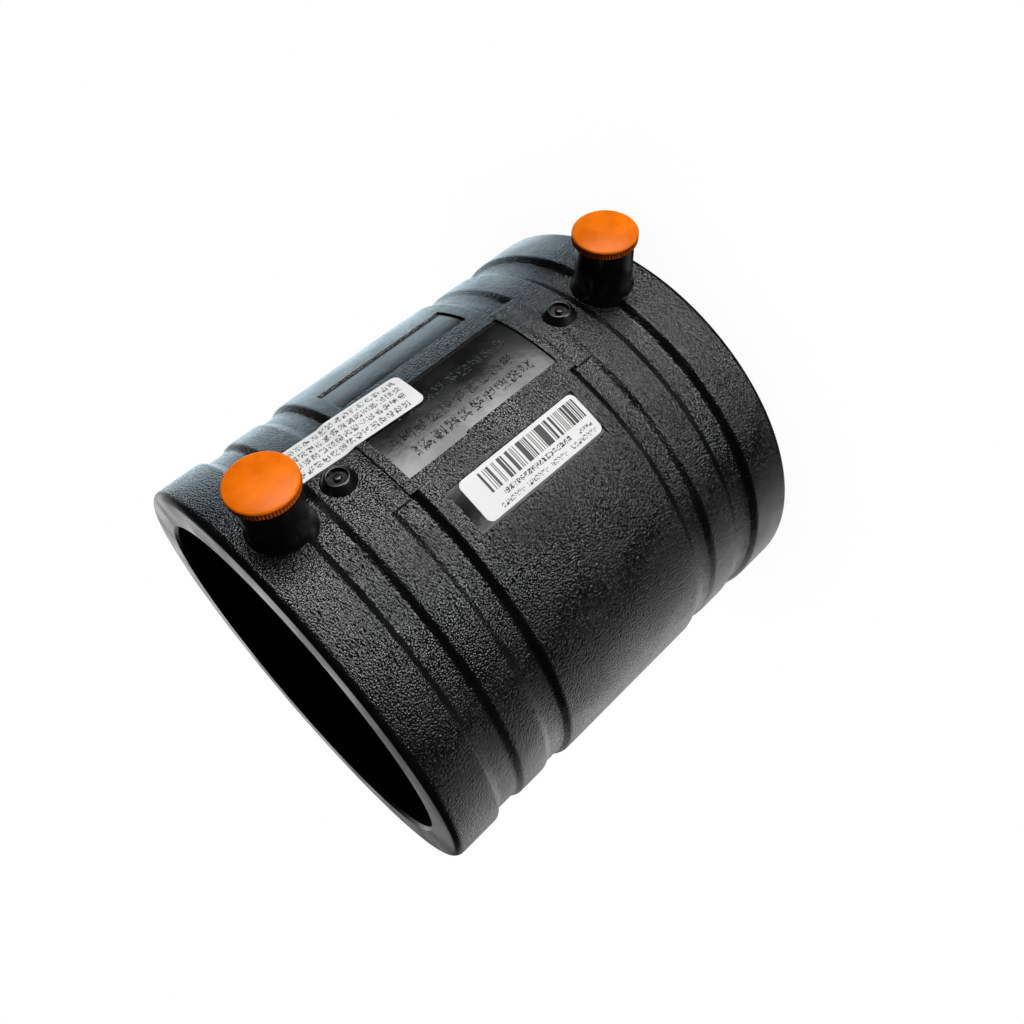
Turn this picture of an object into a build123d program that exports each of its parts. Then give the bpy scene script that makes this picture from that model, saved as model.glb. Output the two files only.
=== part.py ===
"""Electrofusion coupler for a 110 mm polyethylene pipe, standing on one mouth with its bore along +Z."""

import os
from math import degrees

from build123d import *

# Bore, wall and length. The wall is measured at the end and middle bands, the stop stands inside the bore.
bore_radius = 55.4
wall_thickness = 11.0
lead_in_width = 0.6
lead_in_depth = 1.0
coupler_length = 140.0
stop_height = 2.0
stop_width = 3.0
stop_flank = 1.0

# Outside of the sleeve, from a mouth to the middle: end, inner and middle bands with grooves between them.
# Depths are below the end and middle bands, which share one radius.
outer_groove_depth = 1.7
inner_band_depth = 0.6
inner_groove_depth = 1.5
mouth_bevel = 1.6
outer_groove_start = 14.4
outer_groove_end = 25.2
inner_groove_start = 33.6
inner_groove_end = 43.6
ramp_length = 2.6
inner_ramp_length = 3.2

# Flat-sided pads and the sunken name panel on the terminal side
pad_half_angle = 13.7
rib_half_angle = 13.3
rib_width = 3.0
panel_angle = 10.6
panel_low_angle = 10.3
panel_jog_angle = 0.6
panel_jog_height = 76.5
panel_depth = 0.6

# Label recesses, one each side of the panel
recess_length = 44.8
recess_inner_angle = 17.4
recess_outer_angle = 29.6
recess_depth = 0.6

# Terminal shrouds, pins and caps
terminal_offset = 13.0
shroud_radius = 8.0
shroud_height = 14.4
shroud_bore_radius = 6.2
shroud_floor = 1.0
shroud_foot_flare = 1.5
shroud_foot_height = 1.5
pin_radius = 2.35
pin_tip_gap = 1.6
pin_tip_chamfer = 0.5
cap_radius = 9.0
cap_rim_height = 2.4
cap_edge_bevel = 0.5
cap_dome_height = 0.9
cap_flat_radius = 3.0
plug_clearance = 0.05
plug_wall = 1.0
plug_length = 5.0

# Fusion indicators
indicator_offset = 31.0
boss_base_radius = 4.8
boss_top_radius = 3.3
boss_height = 2.2
well_radius = 2.6
well_depth = 1.1
indicator_pin_radius = 1.2
indicator_pin_height = 0.9
indicator_pin_tip = 0.75

# Heating winding: two coil packs flush with the bore and the buried run of wire that joins them
coil_thickness = 1.6
coil_start = 12.0
coil_length = 38.0
link_width = 2.0
link_cover = 0.7

# Paper labels
label_thickness = 0.15
label_corner = 2.0
data_label_length = 41.2
data_label_width = 13.0
data_label_angle = 23.3
data_label_offset = -1.7
notice_label_length = 42.0
notice_label_width = 14.0
notice_label_angle = 10.4
notice_label_centre = 42.8
notice_label_tilt = -3.6

# Worked out from the sizes above
middle = coupler_length / 2
mouth_radius = bore_radius + lead_in_width
stop_radius = bore_radius - stop_height
band_radius = bore_radius + wall_thickness
outer_groove_radius = band_radius - outer_groove_depth
inner_band_radius = band_radius - inner_band_depth
inner_groove_radius = band_radius - inner_groove_depth
terminal_heights = {"lower": terminal_offset, "upper": coupler_length - terminal_offset}
indicator_heights = {"lower": indicator_offset, "upper": coupler_length - indicator_offset}
coil_radius = bore_radius + coil_thickness
shroud_top = band_radius + shroud_height
recess_floor_radius = band_radius - recess_depth
cut_margin = 1.0


def sector(inner, outer, angle_from, angle_to, low, high):
    """Block between two radii, two angles round the bore and two heights."""
    corners = [(inner, low), (outer, low), (outer, high), (inner, high)]
    section = Plane.XZ * make_face(Polyline(*corners, close=True))
    return Rot(0, 0, angle_from) * revolve(section, Axis.Z, angle_to - angle_from)


def both_ends(block):
    """The block and its mirror image about the middle of the coupler."""
    return block + mirror(block, Plane.XY.offset(middle))


def radial_round(radius, low, high, height, top_radius=None):
    """Round or tapered post that stands out along +X at one height, between two distances from the axis."""
    post = Cone(radius, top_radius, high - low) if top_radius else Cylinder(radius, high - low)
    return Pos((low + high) / 2, 0, height) * Rot(0, 90, 0) * post


def outer_half():
    """(radius, height) points of the lower half of the outside, from the mouth to the middle band."""
    return [
        (band_radius - mouth_bevel, 0),
        (band_radius, mouth_bevel),
        (band_radius, outer_groove_start),
        (outer_groove_radius, outer_groove_start + ramp_length),
        (outer_groove_radius, outer_groove_end - ramp_length),
        (inner_band_radius, outer_groove_end),
        (inner_band_radius, inner_groove_start),
        (inner_groove_radius, inner_groove_start + ramp_length),
        (inner_groove_radius, inner_groove_end - inner_ramp_length),
        (band_radius, inner_groove_end),
    ]


def sleeve_blank():
    """Turned form of the sleeve: bands and grooves outside, two sockets and a pipe stop inside."""
    lower = outer_half()
    upper = [(radius, coupler_length - height) for radius, height in reversed(lower)]
    stop_low = middle - stop_width / 2
    stop_high = middle + stop_width / 2
    inside = [
        (mouth_radius, coupler_length),
        (bore_radius, coupler_length - lead_in_depth),
        (bore_radius, stop_high + stop_flank),
        (stop_radius, stop_high),
        (stop_radius, stop_low),
        (bore_radius, stop_low - stop_flank),
        (bore_radius, lead_in_depth),
        (mouth_radius, 0),
    ]
    section = Plane.XZ * make_face(Polyline(*(lower + upper + inside), close=True))
    return Rot(0, 0, 180) * revolve(section, Axis.Z)


def pads_and_ribs():
    """Ledges that fill the inner grooves beside the panel, and the rib at each end of the panel."""
    root = inner_groove_radius - cut_margin
    pad_end = inner_groove_end - rib_width
    pad = sector(root, inner_band_radius, -pad_half_angle, pad_half_angle, inner_groove_start, pad_end)
    rib = sector(root, band_radius, -rib_half_angle, rib_half_angle, pad_end, inner_groove_end)
    return both_ends(pad + rib)


def panel_cut():
    """Sunken panel across the middle band, with a small jog in one long side."""
    floor = band_radius - panel_depth
    roof = band_radius + cut_margin
    low = inner_groove_end
    side_angle = panel_jog_angle - panel_low_angle
    narrow = sector(floor, roof, side_angle, panel_angle, low, panel_jog_height)
    wide = sector(floor, roof, -panel_low_angle, panel_angle, panel_jog_height, coupler_length - low)
    return narrow + wide


def label_recess(side):
    """Sunken field for a label, on the side of the panel given by +1 or -1."""
    angles = sorted([side * recess_inner_angle, side * recess_outer_angle])
    low = middle - recess_length / 2
    roof = band_radius + cut_margin
    return sector(recess_floor_radius, roof, *angles, low, low + recess_length)


def heating_winding():
    """Coil pack in each socket, flush with the bore, and the run between them, buried in the wall."""
    coil = sector(bore_radius, coil_radius, 0, 360, coil_start, coil_start + coil_length)
    half_angle = degrees(link_width / 2 / bore_radius)
    link_radius = bore_radius + link_cover
    link = sector(link_radius, coil_radius, -half_angle, half_angle, coil_start, coupler_length - coil_start)
    return both_ends(coil) + link


def shroud_post(height):
    """Round post of one terminal shroud with a flared foot, rooted in the wall."""
    foot_low = inner_groove_radius - cut_margin
    foot_high = band_radius + shroud_foot_height
    slope = shroud_foot_flare / shroud_foot_height
    foot_radius = shroud_radius + slope * (foot_high - foot_low)
    foot = radial_round(foot_radius, foot_low, foot_high, height, shroud_radius)
    return radial_round(shroud_radius, foot_low, shroud_top, height) + foot


def shroud_socket(height):
    """Hollow of one shroud, open at its top."""
    return radial_round(shroud_bore_radius, band_radius + shroud_floor, shroud_top + cut_margin, height)


def indicator_boss(height):
    """Tapered boss of one fusion indicator."""
    top = inner_band_radius + boss_height
    slope = (boss_base_radius - boss_top_radius) / boss_height
    root = inner_band_radius - cut_margin
    return radial_round(boss_base_radius + slope * cut_margin, root, top, height, boss_top_radius)


def indicator_well(height):
    """Round well in the top of one boss."""
    top = inner_band_radius + boss_height
    return radial_round(well_radius, top - well_depth, top + cut_margin, height)


def pin_shank(top, height):
    """Round shank of a terminal pin, up to a given distance from the axis."""
    return radial_round(pin_radius, bore_radius, top, height)


def outside_the_coil(shank):
    """The shank without the part of it that would run through the coil pack."""
    return shank - Pos(0, 0, middle) * Cylinder(coil_radius, coupler_length)


def terminal_pin(height):
    """Brass pin from the coil pack to just under the top of the shroud."""
    pin = pin_shank(shroud_top - pin_tip_gap, height)
    pin = chamfer(pin.edges().sort_by(Axis.X)[-1], pin_tip_chamfer)
    return outside_the_coil(pin)


def terminal_cap(height):
    """Push-in cap: disc with a low crown on the shroud, and a hollow plug inside it."""
    standing = (Align.CENTER, Align.CENTER, Align.MIN)
    hanging = (Align.CENTER, Align.CENTER, Align.MAX)
    disc = Cylinder(cap_radius, cap_rim_height, align=standing)
    disc = chamfer(disc.edges().sort_by(Axis.Z)[-1], cap_edge_bevel)
    crown = Cone(cap_radius - cap_edge_bevel, cap_flat_radius, cap_dome_height, align=standing)
    plug_radius = shroud_bore_radius - plug_clearance
    plug = Cylinder(plug_radius, plug_length, align=hanging)
    plug -= Cylinder(plug_radius - plug_wall, plug_length, align=hanging)
    cap = disc + Pos(0, 0, cap_rim_height) * crown + plug
    return Pos(shroud_top, 0, height) * Rot(0, 90, 0) * cap


def indicator_pin(height):
    """Small tapered pin standing in the well of one indicator."""
    floor = inner_band_radius + boss_height - well_depth
    return radial_round(indicator_pin_radius, floor, floor + indicator_pin_height, height, indicator_pin_tip)


def label_outline(length, width, angle, height, tilt):
    """Rounded rectangle through the wall that trims a label, long side along the bore before tilting."""
    shape = extrude(RectangleRounded(length, width, label_corner), band_radius / 2)
    placed = Pos(band_radius * 0.7, 0, height) * Rot(0, 90, 0) * Rot(0, 0, tilt) * shape
    return Rot(0, 0, angle) * placed


def data_label():
    """Paper label lying on the floor of one recess."""
    sheet = sector(
        recess_floor_radius,
        recess_floor_radius + label_thickness,
        -recess_outer_angle,
        -recess_inner_angle,
        middle - recess_length / 2,
        middle + recess_length / 2,
    )
    height = middle + data_label_offset
    trim = label_outline(data_label_length, data_label_width, -data_label_angle, height, 0)
    return sheet & trim


def notice_label():
    """Second paper label, stuck askew over the inner band and the middle band."""
    height = coupler_length - notice_label_centre
    step_high = coupler_length - inner_groove_end + rib_width
    reach = notice_label_length * 0.6
    inside = [
        (band_radius, height - reach),
        (band_radius, step_high),
        (inner_band_radius, step_high + ramp_length),
        (inner_band_radius, height + reach),
    ]
    outside = [(radius + label_thickness, z) for radius, z in reversed(inside)]
    section = Plane.XZ * make_face(Polyline(*(inside + outside), close=True))
    span = degrees(notice_label_width / band_radius)
    sheet = Rot(0, 0, notice_label_angle - span) * revolve(section, Axis.Z, 2 * span)
    trim = label_outline(notice_label_length, notice_label_width, notice_label_angle, height, notice_label_tilt)
    return sheet & trim


def sleeve(winding):
    """The one-piece moulding: sleeve, shrouds and bosses, with the seats of everything set in it."""
    body = sleeve_blank() + pads_and_ribs()
    for height in terminal_heights.values():
        body += shroud_post(height)
    for height in indicator_heights.values():
        body += indicator_boss(height)
    body -= panel_cut()
    body -= label_recess(1)
    body -= label_recess(-1)
    for height in terminal_heights.values():
        body -= shroud_socket(height)
        body -= outside_the_coil(pin_shank(shroud_top, height))
    for height in indicator_heights.values():
        body -= indicator_well(height)
    return body - winding


winding = heating_winding()
pieces = {"sleeve": sleeve(winding), "heating_winding": winding, "data_label": data_label()}
pieces["notice_label"] = notice_label()
for end, height in terminal_heights.items():
    pieces[f"terminal_pin_{end}"] = terminal_pin(height)
    pieces[f"terminal_cap_{end}"] = terminal_cap(height)
for end, height in indicator_heights.items():
    pieces[f"indicator_pin_{end}"] = indicator_pin(height)

os.makedirs("parts", exist_ok=True)
for name, piece in pieces.items():
    export_step(piece, f"parts/{name}.step")
    print(name, len(piece.solids()), round(piece.volume, 1))
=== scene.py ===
import math

import bmesh
import bpy
from mathutils import Matrix, Vector


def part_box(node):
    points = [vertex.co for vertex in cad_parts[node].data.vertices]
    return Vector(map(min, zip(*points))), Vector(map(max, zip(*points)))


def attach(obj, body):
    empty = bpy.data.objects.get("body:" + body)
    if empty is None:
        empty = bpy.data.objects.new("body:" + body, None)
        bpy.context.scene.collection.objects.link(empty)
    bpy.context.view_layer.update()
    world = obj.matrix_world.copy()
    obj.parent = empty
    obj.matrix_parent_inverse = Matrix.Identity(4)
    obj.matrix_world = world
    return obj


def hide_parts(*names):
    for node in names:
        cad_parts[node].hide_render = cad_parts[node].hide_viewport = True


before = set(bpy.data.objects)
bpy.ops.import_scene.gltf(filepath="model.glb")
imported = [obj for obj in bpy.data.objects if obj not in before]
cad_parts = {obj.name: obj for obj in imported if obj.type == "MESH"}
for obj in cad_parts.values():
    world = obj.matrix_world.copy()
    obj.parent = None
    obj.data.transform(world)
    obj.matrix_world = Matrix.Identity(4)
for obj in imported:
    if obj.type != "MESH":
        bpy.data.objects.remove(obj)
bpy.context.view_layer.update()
mm = 0.001

# Overall sizes come from the frame. From here on sizes are in millimetres and angles in degrees.
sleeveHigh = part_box("sleeve")[1]
coilLow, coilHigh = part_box("heating_winding")
capLow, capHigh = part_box("terminal_cap_lower")
pinLow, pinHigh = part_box("indicator_pin_lower")
length = sleeveHigh.z / mm
bandRadius = sleeveHigh.y / mm
coilRadius = coilHigh.y / mm
coilStart = coilLow.z / mm
shroudTop = sleeveHigh.x / mm
terminalHeight = (capLow.z + capHigh.z) / 2 / mm
capRadius = (capHigh.z - capLow.z) / 2 / mm
capTop = capHigh.x / mm
capFoot = capLow.x / mm
indicatorHeight = (pinLow.z + pinHigh.z) / 2 / mm
wellFloor = pinLow.x / mm
nubTop = pinHigh.x / mm
nubRadius = (pinHigh.z - pinLow.z) / 2 / mm
print("frame loaded")


# Node helpers. A value is a number or the socket that it comes from.
def addNode(tree, kind, **settings):
    node = tree.nodes.new(kind)
    for key, value in settings.items():
        setattr(node, key, value)
    return node


def feed(tree, value, socket):
    if isinstance(value, (int, float, tuple)):
        socket.default_value = value
    else:
        tree.links.new(value, socket)


def calc(tree, operation, *values):
    node = addNode(tree, "ShaderNodeMath", operation=operation)
    for socket, value in zip(node.inputs, values):
        feed(tree, value, socket)
    return node.outputs[0]


def fade(tree, value, low, high, start=0.0, end=1.0):
    node = addNode(tree, "ShaderNodeMapRange")
    for socket, number in zip(node.inputs, (value, low, high, start, end)):
        feed(tree, number, socket)
    return node.outputs["Result"]


def blendColours(tree, share, first, second):
    node = addNode(tree, "ShaderNodeMix", data_type="RGBA")
    feed(tree, share, node.inputs["Factor"])
    sockets = [s for s in node.inputs if s.type == "RGBA"]
    for socket, value in zip(sockets, (first, second)):
        feed(tree, (*value, 1) if isinstance(value, tuple) else value, socket)
    return [s for s in node.outputs if s.type == "RGBA"][0]


def noiseAt(tree, place, scale, detail=2.0):
    node = addNode(tree, "ShaderNodeTexNoise")
    feed(tree, place, node.inputs["Vector"])
    feed(tree, scale, node.inputs["Scale"])
    node.inputs["Detail"].default_value = detail
    return node.outputs["Fac"]


def newMaterial(name):
    material = bpy.data.materials.new(name)
    material.use_nodes = True
    tree = material.node_tree
    place = addNode(tree, "ShaderNodeTexCoord").outputs["Object"]
    return material, tree, tree.nodes["Principled BSDF"], place


def newGroup(name, inputs, outputs):
    group = bpy.data.node_groups.new(name, "ShaderNodeTree")
    for title, kind in inputs.items():
        group.interface.new_socket(title, in_out="INPUT", socket_type=f"NodeSocket{kind}")
    for title, kind in outputs.items():
        group.interface.new_socket(title, in_out="OUTPUT", socket_type=f"NodeSocket{kind}")
    return group, addNode(group, "NodeGroupInput").outputs, addNode(group, "NodeGroupOutput").inputs


def placeGroup(tree, group, **values):
    node = addNode(tree, "ShaderNodeGroup", node_tree=group)
    for title, value in values.items():
        feed(tree, value, node.inputs[title])
    return node.outputs


# Faint flow marks and handling patches, in every finish
flow = {"detail": 3.0, "patchRange": (0.35, 0.65)}


def makeFlowMarks():
    inputs = {"Place": "Vector", "Fine": "Float", "Broad": "Float"}
    group, given, result = newGroup("flowMarks", inputs, {"Height": "Float", "Patches": "Float"})
    feed(group, noiseAt(group, given["Place"], given["Fine"], flow["detail"]), result["Height"])
    broad = noiseAt(group, given["Place"], given["Broad"], flow["detail"])
    feed(group, fade(group, broad, *flow["patchRange"], -1.0, 1.0), result["Patches"])
    return group


# One field of printed or raised marks: cells filled by chance, in groups with gaps between them.
# Rise is a cell's height and Letter is a group's length with its gap.
letterShare = 0.8
oneRow = 50  # Rise higher than any field
noGap = 500  # Letter longer than any field
always = 1.1  # Chance that fills every cell


def makeMarkField():
    inputs = {"Across": "Float", "Along": "Float", "From across": "Float", "To across": "Float"}
    inputs.update({"From along": "Float", "To along": "Float", "Cell": "Float", "Rise": "Float"})
    inputs.update({"Letter": "Float", "Chance": "Float"})
    group, given, result = newGroup("markField", inputs, {"Mask": "Float"})
    field = calc(group, "GREATER_THAN", given["Across"], given["From across"])
    field = calc(group, "MULTIPLY", field, calc(group, "LESS_THAN", given["Across"], given["To across"]))
    field = calc(group, "MULTIPLY", field, calc(group, "GREATER_THAN", given["Along"], given["From along"]))
    field = calc(group, "MULTIPLY", field, calc(group, "LESS_THAN", given["Along"], given["To along"]))
    run = calc(group, "SUBTRACT", given["Along"], given["From along"])
    climb = calc(group, "SUBTRACT", given["Across"], given["From across"])
    cell = addNode(group, "ShaderNodeCombineXYZ")
    feed(group, calc(group, "FLOOR", calc(group, "DIVIDE", run, given["Cell"])), cell.inputs["X"])
    feed(group, calc(group, "FLOOR", calc(group, "DIVIDE", climb, given["Rise"])), cell.inputs["Y"])
    feed(group, given["From across"], cell.inputs["Z"])
    dice = addNode(group, "ShaderNodeTexWhiteNoise", noise_dimensions="3D")
    feed(group, cell.outputs[0], dice.inputs["Vector"])
    mark = calc(group, "LESS_THAN", dice.outputs["Value"], given["Chance"])
    letter = calc(group, "FRACT", calc(group, "DIVIDE", run, given["Letter"]))
    mark = calc(group, "MULTIPLY", mark, calc(group, "LESS_THAN", letter, letterShare))
    feed(group, calc(group, "MULTIPLY", field, mark), result["Mask"])
    return group


flowMarks = makeFlowMarks()
markField = makeMarkField()


# Distances on the sleeve's surface from a point: across it round the bore, and along the bore
def surfaceAxes(tree, place, angle, height, tilt=0.0):
    axes = addNode(tree, "ShaderNodeSeparateXYZ")
    feed(tree, place, axes.inputs[0])
    turn = calc(tree, "ARCTAN2", axes.outputs["Y"], axes.outputs["X"])
    across = calc(tree, "MULTIPLY", calc(tree, "SUBTRACT", turn, math.radians(angle)), bandRadius)
    along = calc(tree, "SUBTRACT", calc(tree, "DIVIDE", axes.outputs["Z"], mm), height)
    level = addNode(tree, "ShaderNodeVectorRotate", rotation_type="Z_AXIS")
    pair = addNode(tree, "ShaderNodeCombineXYZ")
    feed(tree, across, pair.inputs["X"])
    feed(tree, along, pair.inputs["Y"])
    feed(tree, pair.outputs[0], level.inputs["Vector"])
    level.inputs["Angle"].default_value = math.radians(tilt)
    turned = addNode(tree, "ShaderNodeSeparateXYZ")
    feed(tree, level.outputs[0], turned.inputs[0])
    return turned.outputs["X"], turned.outputs["Y"]


def addMarks(tree, axes, fields):
    ink = None
    for acrossLow, acrossHigh, alongLow, alongHigh, cell, rise, letter, chance in fields:
        values = {"Across": axes[0], "Along": axes[1], "From across": acrossLow, "To across": acrossHigh}
        values.update({"From along": alongLow, "To along": alongHigh, "Cell": cell, "Rise": rise})
        mask = placeGroup(tree, markField, Letter=letter, Chance=chance, **values)["Mask"]
        ink = mask if ink is None else calc(tree, "MAXIMUM", ink, mask)
    return ink


def placeFlow(tree, place, finish):
    fine, broad = finish["flow"]
    return placeGroup(tree, flowMarks, Place=place, Fine=fine, Broad=broad)


def setRoughness(tree, surface, marks, finish):
    feed(tree, fade(tree, marks["Patches"], -1, 1, *finish["roughness"]), surface.inputs["Roughness"])


def setBump(tree, surface, height, depth, strength=1.0):
    node = addNode(tree, "ShaderNodeBump")
    feed(tree, strength, node.inputs["Strength"])
    node.inputs["Distance"].default_value = depth
    feed(tree, height, node.inputs["Height"])
    feed(tree, node.outputs["Normal"], surface.inputs["Normal"])


# Black polyethylene: leather-like grain where the grain attribute is 1, smooth where it is 0,
# and dull where it is -1, in the bore. A raised row gives its limits across and along the name panel.
moulding = {
    "flow": (0.35 / mm, 0.07 / mm),
    "grainCell": 0.58 * mm,
    "grainDepth": 0.2 * mm,
    "grainRange": (0.85, 1.1),
    "wrinkleScale": 1.3,
    "wrinkleShare": 0.45,
    "pebblePower": 2.0,
    "grainRoughness": 0.2,
    "smoothRoughness": 0.26,
    "boreRoughness": 0.75,
    "boreShine": 0.06,
    "shine": 0.5,
    "patchRoughness": 0.07,
    "rippleShare": 0.3,
    "raisedShare": 1.2,
    "strokeCell": 1.1 * mm,
    "strokeRange": (0.5, 0.6),
    "strokeCellLength": 1.0,
    "letter": 4.4,
    "colour": (0.0018, 0.0018, 0.0019),
    # Painted glint: the grain crests are coloured lighter than the base, in place of the highlights they
    # catch
    "crestGlintColour": (0.0042, 0.0043, 0.0045),
    "crestGlintRange": (-0.1, 0.2),
    "raisedRows": [(-8.4, -5.0, -21.0, 20.0), (-3.2, 0.4, -19.0, 22.0), (3.0, 6.4, -22.0, 17.0)],
}


def leatherGrain(tree, place, mask, marks):
    # Pebbles with a fine wrinkle, deeper in some patches than in others
    m = moulding
    cells = addNode(tree, "ShaderNodeTexVoronoi", feature="F1")
    feed(tree, place, cells.inputs["Vector"])
    cells.inputs["Scale"].default_value = 1 / m["grainCell"]
    wrinkle = noiseAt(tree, place, m["wrinkleScale"] / m["grainCell"])
    wrinkle = calc(tree, "MULTIPLY", wrinkle, m["wrinkleShare"])
    pebbles = calc(tree, "POWER", cells.outputs["Distance"], m["pebblePower"])
    crests = calc(tree, "SUBTRACT", wrinkle, pebbles)
    grain = calc(tree, "MULTIPLY", crests, fade(tree, marks["Patches"], -1, 1, *m["grainRange"]))
    return calc(tree, "MULTIPLY", grain, calc(tree, "MAXIMUM", mask, 0.0))


def raisedStrokes(tree, place, mask):
    # Worn raised rows on the name panel, with no letters in them
    m = moulding
    axes = surfaceAxes(tree, place, 0, length / 2)
    fields = [(*limits, m["strokeCellLength"], oneRow, m["letter"], always) for limits in m["raisedRows"]]
    rows = addMarks(tree, axes, fields)
    strokes = fade(tree, noiseAt(tree, place, 1 / m["strokeCell"], 1.0), *m["strokeRange"])
    smooth = fade(tree, mask, 0.5, 0.4, 0, 1)
    return calc(tree, "MULTIPLY", calc(tree, "MULTIPLY", strokes, rows), smooth)


def mouldedPlastic():
    m = moulding
    material, tree, surface, place = newMaterial("mouldedPlastic")
    mask = addNode(tree, "ShaderNodeAttribute", attribute_name="grain").outputs["Fac"]
    marks = placeFlow(tree, place, m)
    grain = leatherGrain(tree, place, mask, marks)
    height = calc(tree, "MULTIPLY_ADD", raisedStrokes(tree, place, mask), m["raisedShare"], grain)
    height = calc(tree, "MULTIPLY_ADD", marks["Height"], m["rippleShare"], height)
    setBump(tree, surface, height, m["grainDepth"])
    rough = fade(tree, mask, 0, 1, m["smoothRoughness"], m["grainRoughness"])
    rough = calc(tree, "MAXIMUM", rough, fade(tree, mask, -1, 0, m["boreRoughness"], 0))
    rough = calc(tree, "MULTIPLY_ADD", marks["Patches"], m["patchRoughness"], rough)
    feed(tree, rough, surface.inputs["Roughness"])
    feed(tree, fade(tree, mask, -1, 0, m["boreShine"], m["shine"]), surface.inputs["Specular IOR Level"])
    # Painted glint: the higher the grain, the lighter its colour
    glintShare = fade(tree, grain, *m["crestGlintRange"])
    feed(tree, blendColours(tree, glintShare, m["colour"], m["crestGlintColour"]), surface.inputs["Base Color"])
    return material


# Turns of coated wire side by side along the bore
wireFinish = {
    "flow": (0.5 / mm, 0.1 / mm),
    "pitch": 1.15 * mm,
    "colour": (0.003, 0.003, 0.003),
    "roughness": (0.7, 0.8),
    "shine": 0.08,
    "depth": 0.25 * mm,
    "rippleShare": 0.2,
    "relief": 0.8,
}


def coatedWire():
    material, tree, surface, place = newMaterial("coatedWire")
    marks = placeFlow(tree, place, wireFinish)
    axes = addNode(tree, "ShaderNodeSeparateXYZ")
    feed(tree, place, axes.inputs[0])
    phase = calc(tree, "MULTIPLY", axes.outputs["Z"], 2 * math.pi / wireFinish["pitch"])
    turns = calc(tree, "ABSOLUTE", calc(tree, "SINE", phase))
    height = calc(tree, "MULTIPLY_ADD", marks["Height"], wireFinish["rippleShare"], turns)
    setBump(tree, surface, height, wireFinish["depth"], wireFinish["relief"])
    surface.inputs["Base Color"].default_value = (*wireFinish["colour"], 1)
    setRoughness(tree, surface, marks, wireFinish)
    surface.inputs["Specular IOR Level"].default_value = wireFinish["shine"]
    return material


# Orange plastic with faint flow marks
capFinish = {
    "flow": (0.5 / mm, 0.14 / mm),
    "colour": (0.77, 0.160, 0.001),
    "deep": (0.62, 0.115, 0.001),
    "roughness": (0.26, 0.36),
    "shine": 0.1,
    "depth": 0.02 * mm,
    "relief": 0.3,
}


def orangePlastic():
    material, tree, surface, place = newMaterial("orangePlastic")
    marks = placeFlow(tree, place, capFinish)
    share = fade(tree, marks["Patches"], -1, 1)
    colour = blendColours(tree, share, capFinish["deep"], capFinish["colour"])
    feed(tree, colour, surface.inputs["Base Color"])
    setRoughness(tree, surface, marks, capFinish)
    surface.inputs["Specular IOR Level"].default_value = capFinish["shine"]
    setBump(tree, surface, marks["Height"], capFinish["depth"], capFinish["relief"])
    return material


# Brass with fine turning marks along the pin
brassFinish = {
    "flow": (0.4 / mm, 0.2 / mm),
    "colour": (0.78, 0.52, 0.2),
    "roughness": (0.22, 0.34),
    "turning": 0.15 * mm,
    "depth": 0.01 * mm,
    "relief": 0.3,
}


def turnedBrass():
    material, tree, surface, place = newMaterial("turnedBrass")
    marks = placeFlow(tree, place, brassFinish)
    axes = addNode(tree, "ShaderNodeSeparateXYZ")
    feed(tree, place, axes.inputs[0])
    phase = calc(tree, "MULTIPLY", axes.outputs["X"], 2 * math.pi / brassFinish["turning"])
    height = calc(tree, "ADD", calc(tree, "SINE", phase), marks["Height"])
    setBump(tree, surface, height, brassFinish["depth"], brassFinish["relief"])
    surface.inputs["Base Color"].default_value = (*brassFinish["colour"], 1)
    surface.inputs["Metallic"].default_value = 1
    setRoughness(tree, surface, marks, brassFinish)
    return material


# Glossy black plastic of the indicator pins
nubFinish = {
    "flow": (0.8 / mm, 0.6 / mm),
    "colour": (0.008, 0.008, 0.009),
    "roughness": (0.14, 0.26),
    "depth": 0.02 * mm,
    "relief": 0.4,
}


def glossBlack():
    material, tree, surface, place = newMaterial("glossBlack")
    marks = placeFlow(tree, place, nubFinish)
    surface.inputs["Base Color"].default_value = (*nubFinish["colour"], 1)
    setRoughness(tree, surface, marks, nubFinish)
    setBump(tree, surface, marks["Height"], nubFinish["depth"], nubFinish["relief"])
    return material


# White paper with fields of plain marks: limits across and along, cell, rise, letter, chance
paper = {
    "flow": (2.5 / mm, 0.1 / mm),
    "white": (0.64, 0.64, 0.635),
    "roughness": (0.45, 0.55),
    "depth": 0.01 * mm,
    "relief": 0.15,
}
dataPrint = {
    "angle": -23.3,
    "height": length / 2 - 1.7,
    "tilt": 0.0,
    "ink": (0.03, 0.03, 0.032),
    "fields": [
        (-0.9, 5.3, -19.2, 14.8, 0.26, oneRow, noGap, 0.52),
        (-3.3, -1.9, -11.4, 12.2, 0.3, 0.28, 1.3, 0.6),
        (-3.7, -2.5, -18.8, -14.0, 0.3, 0.3, 1.2, 0.45),
        (-5.6, -4.3, -18.8, -9.6, 0.28, 0.32, 1.15, 0.45),
        (-5.6, -4.3, -8.0, -2.4, 0.28, 0.32, 1.15, 0.45),
        (-5.6, -4.3, -1.0, 6.2, 0.28, 0.32, 1.15, 0.45),
        (-5.6, -4.3, 7.4, 15.4, 0.28, 0.32, 1.15, 0.45),
    ],
}
noticePrint = {
    "angle": 10.4,
    "height": length - 42.8,
    "tilt": 3.6,
    "ink": (0.09, 0.09, 0.095),
    "fields": [
        (-5.9, -3.7, -17.0, 17.6, 0.34, 0.31, 2.5, 0.46),
        (-2.7, -0.5, -18.0, 17.0, 0.34, 0.31, 2.5, 0.46),
        (0.5, 2.7, -18.5, 17.0, 0.34, 0.31, 2.5, 0.46),
        (3.7, 5.9, -19.0, 16.6, 0.34, 0.31, 2.5, 0.46),
    ],
}


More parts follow.
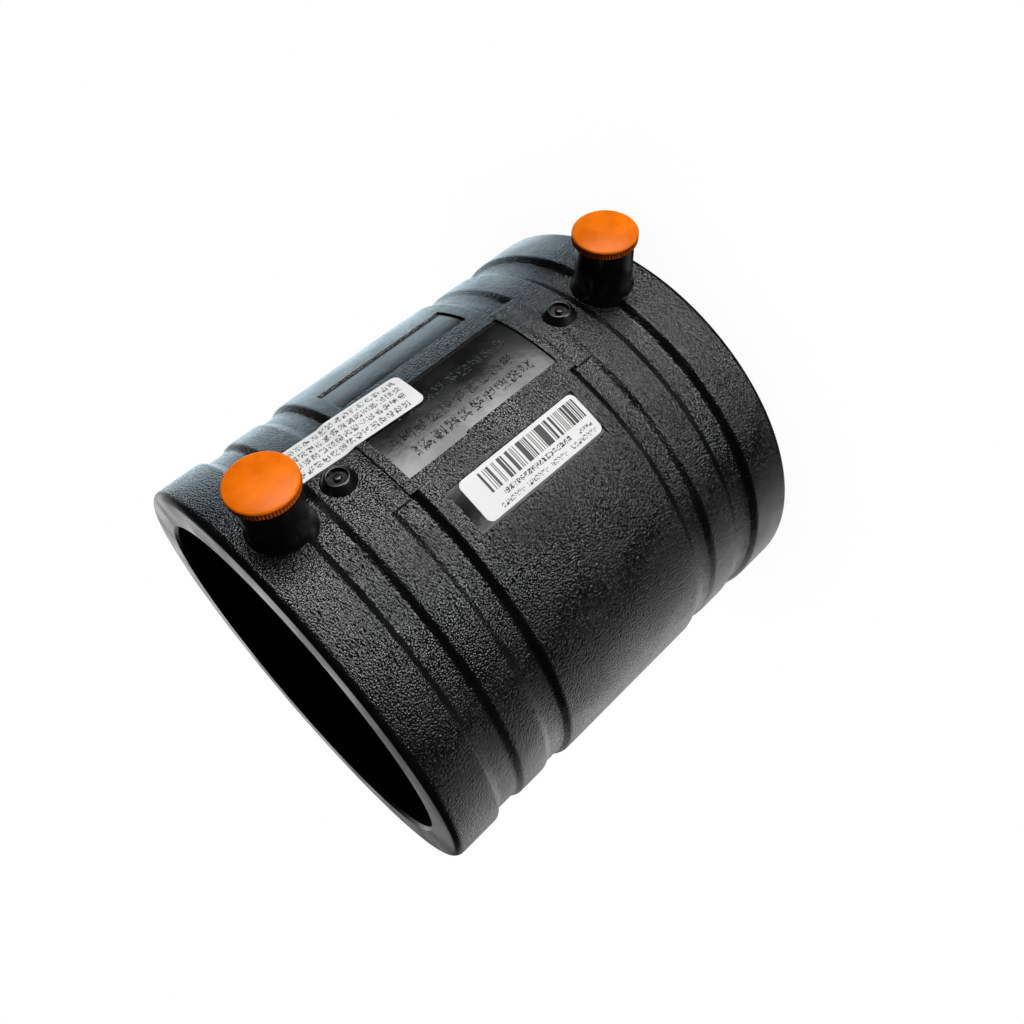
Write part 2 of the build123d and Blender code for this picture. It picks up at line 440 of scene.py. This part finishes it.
def labelPaper(name, layout):
    material, tree, surface, place = newMaterial(name)
    marks = placeFlow(tree, place, paper)
    axes = surfaceAxes(tree, place, layout["angle"], layout["height"], layout["tilt"])
    ink = addMarks(tree, axes, layout["fields"])
    feed(tree, blendColours(tree, ink, paper["white"], layout["ink"]), surface.inputs["Base Color"])
    setRoughness(tree, surface, marks, paper)
    setBump(tree, surface, marks["Height"], paper["depth"], paper["relief"])
    return material


plastic = mouldedPlastic()
orange = orangePlastic()
gloss = glossBlack()
brass = turnedBrass()
wire = coatedWire()
print("materials made")


# Mesh helpers. Every form is drawn in millimetres and made metres when it is finished.
near = 0.01  # Distance at which a point counts as the same place


def reachOf(vert):
    return math.hypot(vert.co.x, vert.co.y)


def angleOf(co):
    return math.degrees(math.atan2(co.y, co.x))


def turnOutline(outline, steps):
    # Closed (reach, height) outline, spun once round Z
    form = bmesh.new()
    corners = [form.verts.new((reach, 0, height)) for reach, height in outline]
    edges = [form.edges.new((corners[i - 1], corners[i])) for i in range(len(corners))]
    bmesh.ops.spin(
        form,
        geom=corners + edges,
        cent=(0, 0, 0),
        axis=(0, 0, 1),
        angle=math.tau,
        steps=steps,
        use_merge=True,
    )
    return form


def bevelEdges(form, edges, width, segments):
    bmesh.ops.bevel(
        form,
        geom=edges,
        offset=width,
        offset_type="OFFSET",
        affect="EDGES",
        segments=segments,
        profile=0.5,
        material=-1,
    )


def roundRings(form, corners, width, segments):
    # Rounds the rings of edges that stand at the given (reach, height) corners
    def cornerOf(vert):
        for i, (reach, height) in enumerate(corners):
            if abs(reachOf(vert) - reach) < near and abs(vert.co.z - height) < near:
                return i
        return None

    corner = {vert: cornerOf(vert) for vert in form.verts}
    ends = {edge: [corner[vert] for vert in edge.verts] for edge in form.edges}
    rings = [edge for edge, (first, last) in ends.items() if first is not None and first == last]
    bevelEdges(form, rings, width, segments)


def standOut(form, height):
    # Turns a form drawn along Z to stand out along +X at a height up the sleeve
    matrix = Matrix.Translation((0, 0, height)) @ Matrix.Rotation(math.pi / 2, 4, "Y")
    bmesh.ops.transform(form, matrix=matrix, verts=form.verts)


def joinForm(form, other):
    mesh = bpy.data.meshes.new("joined")
    other.to_mesh(mesh)
    other.free()
    form.from_mesh(mesh)
    bpy.data.meshes.remove(mesh)


def makeObject(name, form, material):
    mesh = bpy.data.meshes.new(name)
    form.to_mesh(mesh)
    form.free()
    mesh.materials.append(material)
    made = bpy.data.objects.new(name, mesh)
    bpy.context.scene.collection.objects.link(made)
    return made


def addPiece(name, form, material, nodes, sharp):
    bmesh.ops.recalc_face_normals(form, faces=form.faces)
    bmesh.ops.scale(form, vec=(mm, mm, mm), verts=form.verts)
    piece = makeObject(name, form, material)
    piece.data.shade_smooth()
    piece.data.set_sharp_from_angle(angle=math.radians(sharp))
    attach(piece, "root")
    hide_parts(*nodes)


# Sleeve: bands and grooves outside, two sockets and the pipe stop inside
sleeveForm = {
    "steps": 360,
    "sharp": 28,
    "mouthRounding": 2.2,
    "mouthSegments": 7,
    "edgeRounding": 0.55,
    "edgeSegments": 4,
    "outerGrooveDepth": 1.7,
    "innerBandDepth": 0.6,
    "innerGrooveDepth": 1.5,
    "outerGroove": (14.8, 24.9),
    "innerGroove": (34.0, 43.2),
    "ramp": 1.9,
    "mouthRadius": 56.0,
    "mouthBevel": 1.0,
    "boreRadius": 55.4,
    "stopRadius": 53.4,
    "stopWidth": 3.0,
    "stopFlank": 1.0,
    "coilLength": 38.0,
}


def outsideCorners():
    # Lower half of the outside, from the mouth to the middle band
    f = sleeveForm
    outer = bandRadius - f["outerGrooveDepth"]
    band = bandRadius - f["innerBandDepth"]
    inner = bandRadius - f["innerGrooveDepth"]
    outerLow, outerHigh = f["outerGroove"]
    innerLow, innerHigh = f["innerGroove"]
    return [
        (bandRadius, 0.0),
        (bandRadius, outerLow),
        (outer, outerLow + f["ramp"]),
        (outer, outerHigh - f["ramp"]),
        (band, outerHigh),
        (band, innerLow),
        (inner, innerLow + f["ramp"]),
        (inner, innerHigh - f["ramp"]),
        (bandRadius, innerHigh),
    ]


def insideCorners():
    # Lower half of the inside, from the pipe stop to the mouth
    f = sleeveForm
    stopLow = length / 2 - f["stopWidth"] / 2
    coilEnd = coilStart + f["coilLength"]
    return [
        (f["stopRadius"], stopLow),
        (f["boreRadius"], stopLow - f["stopFlank"]),
        (f["boreRadius"], coilEnd),
        (coilRadius, coilEnd),
        (coilRadius, coilStart),
        (f["boreRadius"], coilStart),
        (f["boreRadius"], f["mouthBevel"]),
        (f["mouthRadius"], 0.0),
    ]


def buildSleeve():
    f = sleeveForm
    outside, inside = outsideCorners(), insideCorners()
    above = [(reach, length - height) for reach, height in reversed(outside)]
    insideAbove = [(reach, length - height) for reach, height in reversed(inside)]
    form = turnOutline(outside + above + insideAbove + inside, f["steps"])
    roundRings(form, [outside[0], above[-1]], f["mouthRounding"], f["mouthSegments"])
    roundRings(form, outside[1:] + above[:-1], f["edgeRounding"], f["edgeSegments"])
    bmesh.ops.recalc_face_normals(form, faces=form.faces)
    return form


# Sunken name panel, label recesses, and the pads and ribs beside them. A block's bend is in radians.
panelForm = {
    "padAngle": 13.7,
    "ribAngle": 13.3,
    "ribWidth": 3.0,
    "edge": 43.6,
    "innerGrooveStart": 33.6,
    "highAngle": 10.6,
    "lowAngle": -10.3,
    "jogAngle": 0.6,
    "jogHeight": 76.5,
    "recessAngles": (17.4, 29.6),
    "recessLength": 44.8,
    "depth": 0.6,
    "draft": 0.09,
    "blockRounding": 0.2,
    "blockSegments": 2,
    "blockBend": 1.0,
    "blockRoot": 3,
    "sideFrom": 50,
    "sideFacing": 0.3,
}


def onTerminalSide(face):
    # True for the outer faces that look towards the terminals
    return face.calc_center_median().x > panelForm["sideFrom"] and face.normal.x > panelForm["sideFacing"]


def cutSector(form, normal, point):
    # Cuts the outer faces on the terminal side with one plane
    faces = [face for face in form.faces if onTerminalSide(face)]
    edges = {edge for face in faces for edge in face.edges}
    verts = {vert for face in faces for vert in face.verts}
    bmesh.ops.bisect_plane(form, geom=[*faces, *edges, *verts], dist=0.0001, plane_co=point, plane_no=normal)


def sinkRegion(form, inside):
    # Sinks the outer faces that lie in one field
    p = panelForm
    region = []
    for face in form.faces:
        centre = face.calc_center_median()
        if onTerminalSide(face) and inside(angleOf(centre), centre.z):
            region.append(face)
    bmesh.ops.inset_region(form, faces=region, thickness=p["draft"], depth=-p["depth"], use_even_offset=True)


def sinkFields(form):
    p = panelForm
    inner, outer = p["recessAngles"]
    form.normal_update()
    for angle in (p["highAngle"], p["lowAngle"], p["lowAngle"] + p["jogAngle"], inner, outer, -inner, -outer):
        turn = math.radians(angle)
        cutSector(form, (-math.sin(turn), math.cos(turn), 0), (0, 0, 0))
    half = p["recessLength"] / 2
    for height in (p["edge"], length - p["edge"], p["jogHeight"], length / 2 - half, length / 2 + half):
        cutSector(form, (0, 0, 1), (0, 0, height))
    form.normal_update()

    def inPanel(angle, height):
        side = p["lowAngle"] + (p["jogAngle"] if height < p["jogHeight"] else 0)
        return side < angle < p["highAngle"] and p["edge"] < height < length - p["edge"]

    sinkRegion(form, inPanel)
    for side in (-1, 1):
        sinkRegion(form, lambda a, h: inner < a * side < outer and abs(h - length / 2) < half)


def addSector(form, reachFrom, reachTo, halfAngle, low, high):
    # Block between two radii that spans an angle each side of the terminals
    block = bmesh.new()
    corners = [(reachFrom, low), (reachTo, low), (reachTo, high), (reachFrom, high)]
    section = block.faces.new([block.verts.new((reach, 0, height)) for reach, height in corners])
    turn = math.radians(halfAngle)
    bmesh.ops.rotate(block, verts=block.verts, cent=(0, 0, 0), matrix=Matrix.Rotation(-turn, 3, "Z"))
    geom = [section, *section.edges, *section.verts]
    steps = round(2 * halfAngle)
    bmesh.ops.spin(block, geom=geom, cent=(0, 0, 0), axis=(0, 0, 1), angle=2 * turn, steps=steps)
    bmesh.ops.recalc_face_normals(block, faces=block.faces)
    block.normal_update()
    outer = [edge for edge in block.edges if min(reachOf(vert) for vert in edge.verts) > reachTo - near]
    borders = [edge for edge in outer if edge.calc_face_angle() > panelForm["blockBend"]]
    bevelEdges(block, borders, panelForm["blockRounding"], panelForm["blockSegments"])
    joinForm(form, block)


def addPadsAndRibs(form):
    f, p = sleeveForm, panelForm
    root = bandRadius - p["blockRoot"]
    padTop = bandRadius - f["innerBandDepth"]
    padEnd = p["edge"] - p["ribWidth"]
    addSector(form, root, padTop, p["padAngle"], p["innerGrooveStart"], padEnd)
    addSector(form, root, bandRadius, p["ribAngle"], padEnd, p["edge"])
    addSector(form, root, padTop, p["padAngle"], length - padEnd, length - p["innerGrooveStart"])
    addSector(form, root, bandRadius, p["ribAngle"], length - p["edge"], length - padEnd)


# Grain by face: 1 on bands, grooves and pads, less on ramps, 0 in the sunken fields, -1 in the bore
grainRules = {"ramp": 0.6, "mouthShare": 0.5, "margin": 0.1, "floorGap": 0.03, "levelGap": 0.05}


def setGrain(form):
    g = grainRules
    layer = form.loops.layers.float.new("grain")
    lowest = bandRadius - sleeveForm["outerGrooveDepth"] - g["margin"]
    floor = bandRadius - panelForm["depth"]
    mouthEdge = sleeveForm["mouthRounding"] * g["mouthShare"]
    form.normal_update()
    for face in form.faces:
        reaches = [reachOf(vert) for vert in face.verts]
        height = face.calc_center_median().z
        onFloor = abs(max(reaches) - floor) < g["floorGap"]
        inField = onFloor and panelForm["edge"] < height < length - panelForm["edge"]
        grain = 0.0
        if min(reaches) > lowest and mouthEdge < height < length - mouthEdge and not inField:
            grain = 1.0 if max(reaches) - min(reaches) < g["levelGap"] else g["ramp"]
        if max(reaches) < sleeveForm["mouthRadius"] - g["margin"]:
            grain = -1.0
        for loop in face.loops:
            loop[layer] = grain


# Terminal shrouds: hollow posts on a flared foot. Foot points are (reach, height above the band).
shroudForm = {
    "radius": 8.0,
    "bore": 6.2,
    "floor": 1.0,
    "pin": 2.35,
    "lip": 0.3,
    "lipSegments": 3,
    "root": -3.0,
    "foot": [(9.6, -2.8), (9.2, -1.6), (8.8, -0.6), (8.4, 0.2), (8.12, 1.0), (8.0, 1.8)],
    "steps": 96,
}


def addShroud(form, height):
    f = shroudForm
    foot = [(reach, bandRadius + lift) for reach, lift in f["foot"]]
    outline = [(foot[0][0], bandRadius + f["root"]), *foot]
    outline += [(f["radius"], shroudTop), (f["bore"], shroudTop), (f["bore"], bandRadius + f["floor"])]
    outline += [(f["pin"], bandRadius + f["floor"]), (f["pin"], bandRadius + f["root"])]
    post = turnOutline(outline, f["steps"])
    roundRings(post, [(f["radius"], shroudTop)], f["lip"], f["lipSegments"])
    standOut(post, height)
    joinForm(form, post)


# Fusion indicators: tapered bosses with a well
bossForm = {
    "base": 4.8,
    "top": 3.3,
    "height": 2.2,
    "well": 2.6,
    "axisHole": 0.4,
    "root": -2.4,
    "rounding": 0.3,
    "segments": 4,
    "wellRounding": 0.12,
    "wellSegments": 2,
    "steps": 72,
}


def addBoss(form, height):
    f = bossForm
    foot = bandRadius - sleeveForm["innerBandDepth"]
    top = foot + f["height"]
    slope = (f["base"] - f["top"]) / f["height"]
    outline = [(f["base"] - slope * f["root"], foot + f["root"]), (f["top"], top), (f["well"], top)]
    outline += [(f["well"], wellFloor), (f["axisHole"], wellFloor), (f["axisHole"], foot + f["root"])]
    boss = turnOutline(outline, f["steps"])
    roundRings(boss, [(f["top"], top)], f["rounding"], f["segments"])
    roundRings(boss, [(f["well"], top)], f["wellRounding"], f["wellSegments"])
    standOut(boss, height)
    joinForm(form, boss)


sleeve = buildSleeve()
print("sleeve turned")
sinkFields(sleeve)
addPadsAndRibs(sleeve)
setGrain(sleeve)
for height in (terminalHeight, length - terminalHeight):
    addShroud(sleeve, height)
for height in (indicatorHeight, length - indicatorHeight):
    addBoss(sleeve, height)
addPiece("sleeveMoulding", sleeve, plastic, ["sleeve"], sleeveForm["sharp"])
print("sleeve built")

# Caps: ribbed rim, rounded edge, low crown and hollow plug. Heights are above the top of the shroud.
# A cap is turned round a hole as fine as a hair, on its axis.
capForm = {
    "ribs": 66,
    "ribDepth": 0.36,
    "ribFoot": 0.1,
    "stepsPerRib": 4,
    "rim": 2.4,
    "foot": 0.2,
    "edge": 0.55,
    "edgeSegments": 7,
    "crownPoints": 9,
    "crownPower": 2.4,
    "plug": 6.15,
    "plugWall": 1.0,
    "axisHole": 0.05,
    "sharp": 40,
}


def capOutline():
    f = capForm
    crownHeight = capTop - shroudTop - f["rim"]
    plugFoot = capFoot - shroudTop
    plugBore = f["plug"] - f["plugWall"]
    outline = [(f["plug"], 0.0), (capRadius - f["foot"], 0.0), (capRadius, f["foot"]), (capRadius, f["rim"])]
    for i in range(2, f["crownPoints"]):
        share = 1 - i / f["crownPoints"]
        outline.append((capRadius * share, f["rim"] + crownHeight * (1 - share ** f["crownPower"])))
    outline += [(f["axisHole"], f["rim"] + crownHeight), (f["axisHole"], 0.0)]
    return outline + [(plugBore, 0.0), (plugBore, plugFoot), (f["plug"], plugFoot)]


def buildCap(height):
    f = capForm
    form = turnOutline(capOutline(), f["ribs"] * f["stepsPerRib"])
    roundRings(form, [(capRadius, f["rim"])], f["edge"], f["edgeSegments"])
    for vert in form.verts:
        if reachOf(vert) > capRadius - near and f["ribFoot"] < vert.co.z < f["rim"]:
            wave = 0.5 - 0.5 * math.cos(f["ribs"] * math.atan2(vert.co.y, vert.co.x))
            vert.co.xy *= 1 - f["ribDepth"] * wave / capRadius
    bmesh.ops.translate(form, vec=(0, 0, shroudTop), verts=form.verts)
    standOut(form, height)
    return form


for end, height in (("lower", terminalHeight), ("upper", length - terminalHeight)):
    node = f"terminal_cap_{end}"
    addPiece(f"cap{end.capitalize()}", buildCap(height), orange, [node], capForm["sharp"])
print("caps built")

# Indicator pins: a domed nub in each well
nubForm = {"rounding": 0.45, "segments": 5, "steps": 48, "axisHole": 0.02, "sharp": 35}


def buildNub(height):
    f = nubForm
    outline = [(nubRadius, wellFloor), (nubRadius, nubTop)]
    outline += [(f["axisHole"], nubTop), (f["axisHole"], wellFloor)]
    form = turnOutline(outline, f["steps"])
    roundRings(form, [(nubRadius, nubTop)], f["rounding"], f["segments"])
    standOut(form, height)
    return form


for end, height in (("lower", indicatorHeight), ("upper", length - indicatorHeight)):
    node = f"indicator_pin_{end}"
    addPiece(f"nub{end.capitalize()}", buildNub(height), gloss, [node], nubForm["sharp"])
print("indicator pins built")

# Nodes that keep their own shape get their finish here
shownNodes = {
    "heating_winding": (wire, "coated_wire"),
    "terminal_pin_lower": (brass, "terminal_brass"),
    "terminal_pin_upper": (brass, "terminal_brass"),
    "data_label": (labelPaper("dataPaper", dataPrint), "label_paper"),
    "notice_label": (labelPaper("noticePaper", noticePrint), "label_paper"),
}
for name, (material, slotName) in shownNodes.items():
    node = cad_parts[name]
    node.data.materials.clear()
    node.data.materials.append(material)
print("nodes finished")

# Studio. Soft sources stand round the part: azimuth is from +X towards +Y, elevation is up from level.
# Wide and high are half a source's size, and soft is how far its edge fades, in degrees.
studio = {"ambient": 0.014, "white": (1, 1, 1)}
sources = {
    "front": {"azimuth": 13, "elevation": -16, "wide": 12, "high": 16, "soft": 8, "level": 13.5},
    "side": {"azimuth": -42, "elevation": -26, "wide": 9, "high": 15, "soft": 7, "level": 14.0},
    "left": {"azimuth": 112, "elevation": -24, "wide": 30, "high": 18, "soft": 4, "level": 2.1},
    "far": {"azimuth": 137, "elevation": 8, "wide": 23, "high": 9, "soft": 12, "level": 1.35},
    "back": {"azimuth": -160, "elevation": -22, "wide": 24, "high": 20, "soft": 13, "level": 1.2},
}
tints = {"left": (0.72, 0.9, 1)}  # The other sources are white


def softSource(tree, axes, source):
    # Share of one source in the direction looked in
    turn = math.radians(source["azimuth"])
    toward = calc(tree, "MULTIPLY", axes["X"], math.cos(turn))
    toward = calc(tree, "MULTIPLY_ADD", axes["Y"], math.sin(turn), toward)
    levelSquared = calc(tree, "SUBTRACT", 1, calc(tree, "POWER", axes["Z"], 2))
    level = calc(tree, "SQRT", calc(tree, "MAXIMUM", levelSquared, 0.0001))
    cosine = calc(tree, "MINIMUM", calc(tree, "MAXIMUM", calc(tree, "DIVIDE", toward, level), -1), 1)
    across = calc(tree, "DEGREES", calc(tree, "ARCCOSINE", cosine))
    lift = calc(tree, "DEGREES", calc(tree, "ARCSINE", axes["Z"]))
    lift = calc(tree, "ABSOLUTE", calc(tree, "SUBTRACT", lift, source["elevation"]))
    wide, high, soft = source["wide"], source["high"], source["soft"]
    inside = fade(tree, across, wide - soft, wide + soft, 1, 0)
    return calc(tree, "MULTIPLY", inside, fade(tree, lift, high - soft, high + soft, 1, 0))


def whiteToCamera(tree, shader, white, target):
    # The white shader for rays straight from the camera, the other shader for all the rest
    choose = addNode(tree, "ShaderNodeMixShader")
    feed(tree, addNode(tree, "ShaderNodeLightPath").outputs["Is Camera Ray"], choose.inputs[0])
    feed(tree, shader, choose.inputs[1])
    feed(tree, white, choose.inputs[2])
    feed(tree, choose.outputs[0], target)


def buildWorld():
    world = bpy.data.worlds.new("studio")
    world.use_nodes = True
    tree = world.node_tree
    axes = addNode(tree, "ShaderNodeSeparateXYZ")
    feed(tree, addNode(tree, "ShaderNodeTexCoord").outputs["Generated"], axes.inputs[0])
    total = (studio["ambient"],) * 3
    for name, source in sources.items():
        glow = addNode(tree, "ShaderNodeVectorMath", operation="SCALE")
        feed(tree, tints.get(name, studio["white"]), glow.inputs[0])
        share = softSource(tree, axes.outputs, source)
        feed(tree, calc(tree, "MULTIPLY", share, source["level"]), glow.inputs["Scale"])
        both = addNode(tree, "ShaderNodeVectorMath", operation="ADD")
        feed(tree, total, both.inputs[0])
        feed(tree, glow.outputs[0], both.inputs[1])
        total = both.outputs[0]
    surround = tree.nodes["Background"]
    feed(tree, total, surround.inputs["Color"])
    white = addNode(tree, "ShaderNodeBackground")
    white.inputs["Color"].default_value = (*studio["white"], 1)
    whiteToCamera(tree, surround.outputs[0], white.outputs[0], tree.nodes["World Output"].inputs["Surface"])
    bpy.context.scene.world = world


# Floor: white to the camera, with a faint contact shade under the part
floorForm = {
    "size": 6.0,
    "colour": (0.85, 0.85, 0.85),
    "roughness": 0.8,
    "shade": 0.95,
    "reach": 0.03,
    "samples": 4,
}


def buildFloor():
    f = floorForm
    material, tree, surface, place = newMaterial("floorPaper")
    surface.inputs["Base Color"].default_value = (*f["colour"], 1)
    surface.inputs["Roughness"].default_value = f["roughness"]
    nearness = addNode(tree, "ShaderNodeAmbientOcclusion")
    nearness.inputs["Distance"].default_value = f["reach"]
    nearness.samples = f["samples"]
    white = addNode(tree, "ShaderNodeEmission")
    shaded = blendColours(tree, nearness.outputs["AO"], (f["shade"],) * 3, studio["white"])
    feed(tree, shaded, white.inputs["Color"])
    target = tree.nodes["Material Output"].inputs["Surface"]
    whiteToCamera(tree, surface.outputs[0], white.outputs[0], target)
    form = bmesh.new()
    bmesh.ops.create_grid(form, x_segments=1, y_segments=1, size=f["size"] / 2)
    floor = makeObject("floor", form, material)
    floor.visible_diffuse = False
    floor.visible_glossy = False
    floor.visible_shadow = False


# Dark card under the bore, so that nothing shines in from below
flagForm = {"inset": 4, "lift": -0.4, "steps": 96, "colour": (0.005, 0.005, 0.005), "roughness": 0.9}


def buildFlag():
    f = flagForm
    material, tree, surface, place = newMaterial("flagPaper")
    surface.inputs["Base Color"].default_value = (*f["colour"], 1)
    surface.inputs["Roughness"].default_value = f["roughness"]
    form = bmesh.new()
    bmesh.ops.create_circle(form, cap_ends=True, segments=f["steps"], radius=(bandRadius - f["inset"]) * mm)
    bmesh.ops.translate(form, vec=(0, 0, f["lift"] * mm), verts=form.verts)
    flag = makeObject("flag", form, material)
    flag.visible_camera = False


# Camera close to the terminal side, rolled so that the bore runs down to the left
lens = {
    "at": (250.12, -135.16, 171.58),
    "to": (3.409, -4.220, 57.756),
    "roll": -130.24,
    "focal": 33.65,
    "sensor": 36,
    "clip": (0.01, 50),
}


def buildCamera():
    data = bpy.data.cameras.new("camera")
    data.lens = lens["focal"]
    data.sensor_width = lens["sensor"]
    data.clip_start, data.clip_end = lens["clip"]
    camera = bpy.data.objects.new("camera", data)
    at, to = Vector(lens["at"]) * mm, Vector(lens["to"]) * mm
    turned = (to - at).to_track_quat("-Z", "Y").to_matrix().to_4x4()
    roll = Matrix.Rotation(math.radians(lens["roll"]), 4, "Z")
    camera.matrix_world = Matrix.Translation(at) @ turned @ roll
    bpy.context.scene.collection.objects.link(camera)
    bpy.context.scene.camera = camera


buildFloor()
buildFlag()
buildWorld()
buildCamera()
bpy.context.scene.view_settings.view_transform = "Standard"
print("studio built")
